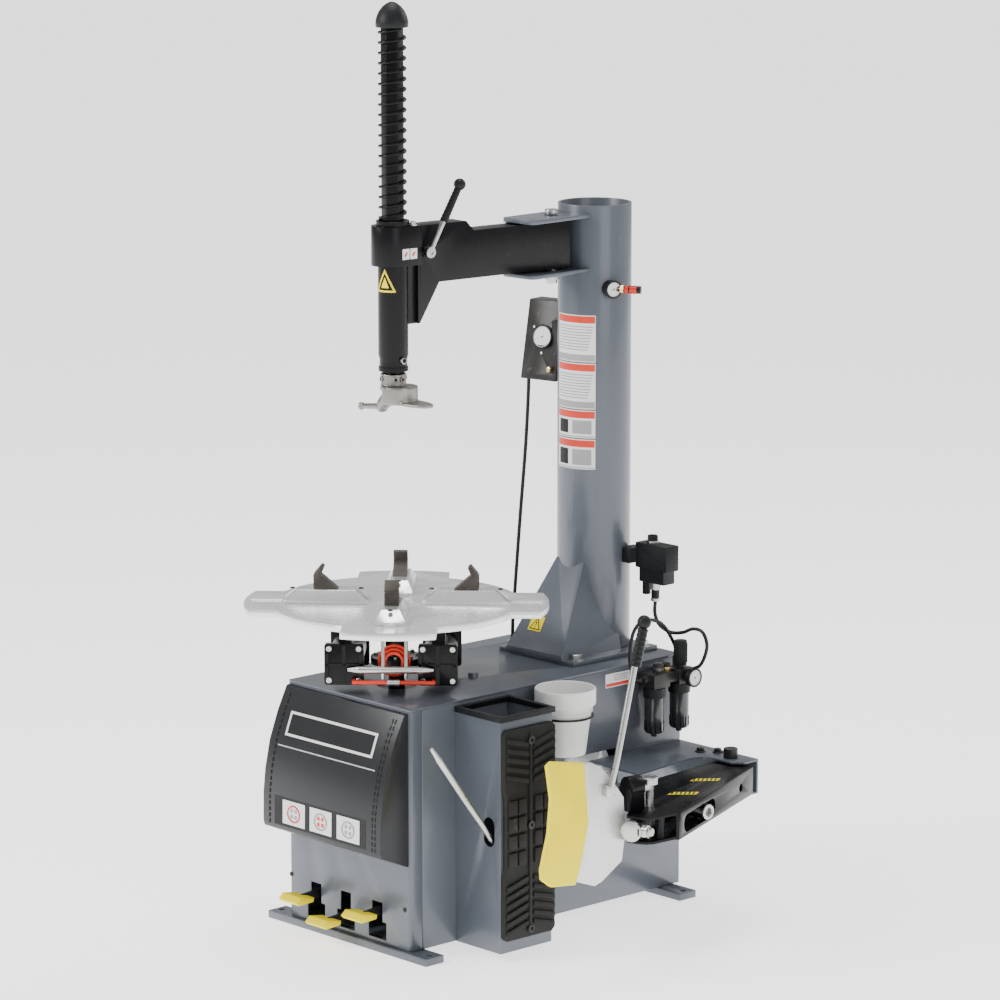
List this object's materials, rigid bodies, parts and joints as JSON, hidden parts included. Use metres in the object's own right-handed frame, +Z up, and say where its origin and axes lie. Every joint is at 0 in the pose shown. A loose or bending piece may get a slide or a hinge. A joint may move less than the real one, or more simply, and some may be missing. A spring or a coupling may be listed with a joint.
{
  "type": "tire changer machine",
  "caption": "Swing-arm tyre changer with a jawed turntable, sliding hexagonal post, side bead breaker, pedals and an inflator column.",
  "frame": {"origin": "centre of the footprint of the whole machine, on the floor", "axes": "+Z up, +Y from the pedals at the front towards the column at the back, +X to the operator's right, where the bead breaker is"},
  "size_m": [0.8942, 0.9356, 1.963],
  "materials": {
    "slate_paint": "gloss",
    "black_paint": "gloss",
    "black_plastic": "matte",
    "rubber": "matte",
    "zinc": "satin",
    "steel": "satin",
    "alloy": "brushed",
    "brass": "satin",
    "yellow_paint": "gloss",
    "red_plastic": "gloss",
    "white_plastic": "gloss",
    "dark_steel": "satin"
  },
  "bodies": {
    "root": {"cabinet_shell": "slate_paint", "top_plate": "slate_paint", "front_panel": "slate_paint", "front_cover": "black_plastic", "front_foot": "black_paint", "rear_foot": "black_paint", "tool_box": "slate_paint", "tool_box_rim": "black_plastic", "tyre_pad": "rubber", "bucket_ring": "dark_steel", "column": "slate_paint", "column_base": "slate_paint", "hinge_bracket": "slate_paint", "hinge_pin": "zinc", "pedal_axle": "zinc", "gearbox": "dark_steel", "drive_motor": "slate_paint", "drive_belt": "rubber", "breaker_bracket": "slate_paint", "pivot_bolt": "black_paint", "breaker_cylinder": "alloy", "gauge_box": "slate_paint", "column_gauge": "black_plastic", "air_valve": "alloy", "air_treatment": "alloy", "air_hose_front": "rubber", "air_hose_rear": "rubber", "inflator_hose": "rubber"},
    "swing_arm": {"swing_arm": "black_paint", "post_housing": "black_paint"},
    "lock_lever": {"lock_lever": "zinc"},
    "post": {"hex_post": "dark_steel", "post_cap": "black_plastic", "post_spring": "dark_steel", "mount_head": "steel"},
    "turntable": {"turntable_plate": "alloy", "spindle": "dark_steel", "clamp_cylinder_left": "black_paint", "clamp_cylinder_right": "black_paint", "link_tube": "zinc", "table_air_line": "red_plastic"},
    "jaw_1": {"jaw_1": "steel"},
    "jaw_2": {"jaw_2": "steel"},
    "jaw_3": {"jaw_3": "steel"},
    "jaw_4": {"jaw_4": "steel"},
    "pedal_left": {"pedal_left": "yellow_paint"},
    "pedal_middle": {"pedal_middle": "yellow_paint"},
    "pedal_right": {"pedal_right": "yellow_paint"},
    "breaker_arm": {"breaker_arm": "black_paint"},
    "blade": {"blade_yoke": "zinc", "breaker_blade": "steel", "blade_guard": "yellow_paint", "guide_lever": "zinc"},
    "ram": {"ram_rod": "zinc"},
    "pressure_knob": {"pressure_knob": "black_plastic"},
    "inflate_button": {"inflate_button": "brass"},
    "bucket": {"bucket": "white_plastic"},
    "tyre_lever": {"tyre_lever": "zinc"},
    "gearbox_pulley": {"gearbox_pulley": "zinc"},
    "motor_pulley": {"motor_pulley": "zinc"}
  },
  "joints": [
    {"name": "arm_swing", "type": "hinge", "parent": "root", "child": "swing_arm", "pos_m": [-0.13542, 0.23785, 1.43], "axis": [0, 0, 1], "range_deg": [0, 90]},
    {"name": "lock_turn", "type": "hinge", "parent": "swing_arm", "child": "lock_lever", "pos_m": [-0.12806, -0.12564, 1.446], "axis": [0.9975, -0.0706, 0], "range_deg": [-35, 20]},
    {"name": "post_lift", "type": "slide", "parent": "swing_arm", "child": "post", "axis": [0, 0, 1], "range_m": [-0.3, 0], "stiffness_N_per_m": 400, "springref_m": 0.4, "deforming": ["post_spring"]},
    {"name": "table_turn", "type": "hinge", "parent": "root", "child": "turntable", "pos_m": [-0.16242, -0.18315, 0.703], "axis": [0, 0, 1], "continuous": true},
    {"name": "jaw_1_slide", "type": "slide", "parent": "turntable", "child": "jaw_1", "axis": [0.7071, 0.7071, 0], "range_m": [-0.025, 0.06]},
    {"name": "jaw_2_slide", "type": "slide", "parent": "turntable", "child": "jaw_2", "axis": [-0.7071, 0.7071, 0], "range_m": [-0.025, 0.06]},
    {"name": "jaw_3_slide", "type": "slide", "parent": "turntable", "child": "jaw_3", "axis": [-0.7071, -0.7071, 0], "range_m": [-0.025, 0.06]},
    {"name": "jaw_4_slide", "type": "slide", "parent": "turntable", "child": "jaw_4", "axis": [0.7071, -0.7071, 0], "range_m": [-0.025, 0.06]},
    {"name": "pedal_left_press", "type": "hinge", "parent": "root", "child": "pedal_left", "pos_m": [-0.26942, -0.12915, 0.07], "axis": [1, 0, 0], "range_deg": [0, 6], "stiffness_Nm_per_rad": 8, "springref_deg": -17.19},
    {"name": "pedal_middle_press", "type": "hinge", "parent": "root", "child": "pedal_middle", "pos_m": [-0.17442, -0.12915, 0.07], "axis": [1, 0, 0], "range_deg": [-6, 0]},
    {"name": "pedal_right_press", "type": "hinge", "parent": "root", "child": "pedal_right", "pos_m": [-0.07442, -0.12915, 0.07], "axis": [1, 0, 0], "range_deg": [0, 6], "stiffness_Nm_per_rad": 8, "springref_deg": -17.19},
    {"name": "breaker_swing", "type": "hinge", "parent": "root", "child": "breaker_arm", "pos_m": [0.21758, 0.43385, 0.3], "axis": [0, 0, 1], "range_deg": [-12, 0]},
    {"name": "blade_swivel", "type": "hinge", "parent": "breaker_arm", "child": "blade", "pos_m": [0.36258, 0.04185, 0.3], "axis": [0, 0, 1], "range_deg": [-6, 0]},
    {"name": "ram_stroke", "type": "slide", "parent": "root", "child": "ram", "axis": [1, 0, 0], "range_m": [-0.063, 0]},
    {"name": "knob_turn", "type": "hinge", "parent": "root", "child": "pressure_knob", "pos_m": [0.06758, 0.43085, 0.54], "axis": [0, 0, 1], "range_deg": [-150, 150]},
    {"name": "button_press", "type": "slide", "parent": "root", "child": "inflate_button", "axis": [-0.1821, 0.9635, -0.1961], "range_m": [0, 0.005], "stiffness_N_per_m": 300, "springref_m": -0.003},
    {"name": "bucket_lift", "type": "slide", "parent": "root", "child": "bucket", "axis": [0, 0, 1], "range_m": [0, 0.15]},
    {"name": "lever_draw", "type": "slide", "parent": "root", "child": "tyre_lever", "axis": [0, -0.6024, 0.7982], "range_m": [0, 0.3]},
    {"name": "gearbox_pulley_turn", "type": "hinge", "parent": "root", "child": "gearbox_pulley", "pos_m": [-0.16242, -0.18315, 0.355], "axis": [0, 0, 1], "continuous": true},
    {"name": "motor_pulley_turn", "type": "hinge", "parent": "root", "child": "motor_pulley", "pos_m": [-0.23242, 0.02585, 0.355], "axis": [0, 0, 1], "continuous": true}
  ],
  "couplings": [
    {"joint": "jaw_2_slide", "follows": "jaw_1_slide", "ratio": 1},
    {"joint": "jaw_3_slide", "follows": "jaw_1_slide", "ratio": 1},
    {"joint": "jaw_4_slide", "follows": "jaw_1_slide", "ratio": 1},
    {"joint": "ram_stroke", "follows": "breaker_swing", "m_per_rad": 0.29},
    {"joint": "gearbox_pulley_turn", "follows": "table_turn", "ratio": 6},
    {"joint": "motor_pulley_turn", "follows": "table_turn", "ratio": 12}
  ]
}
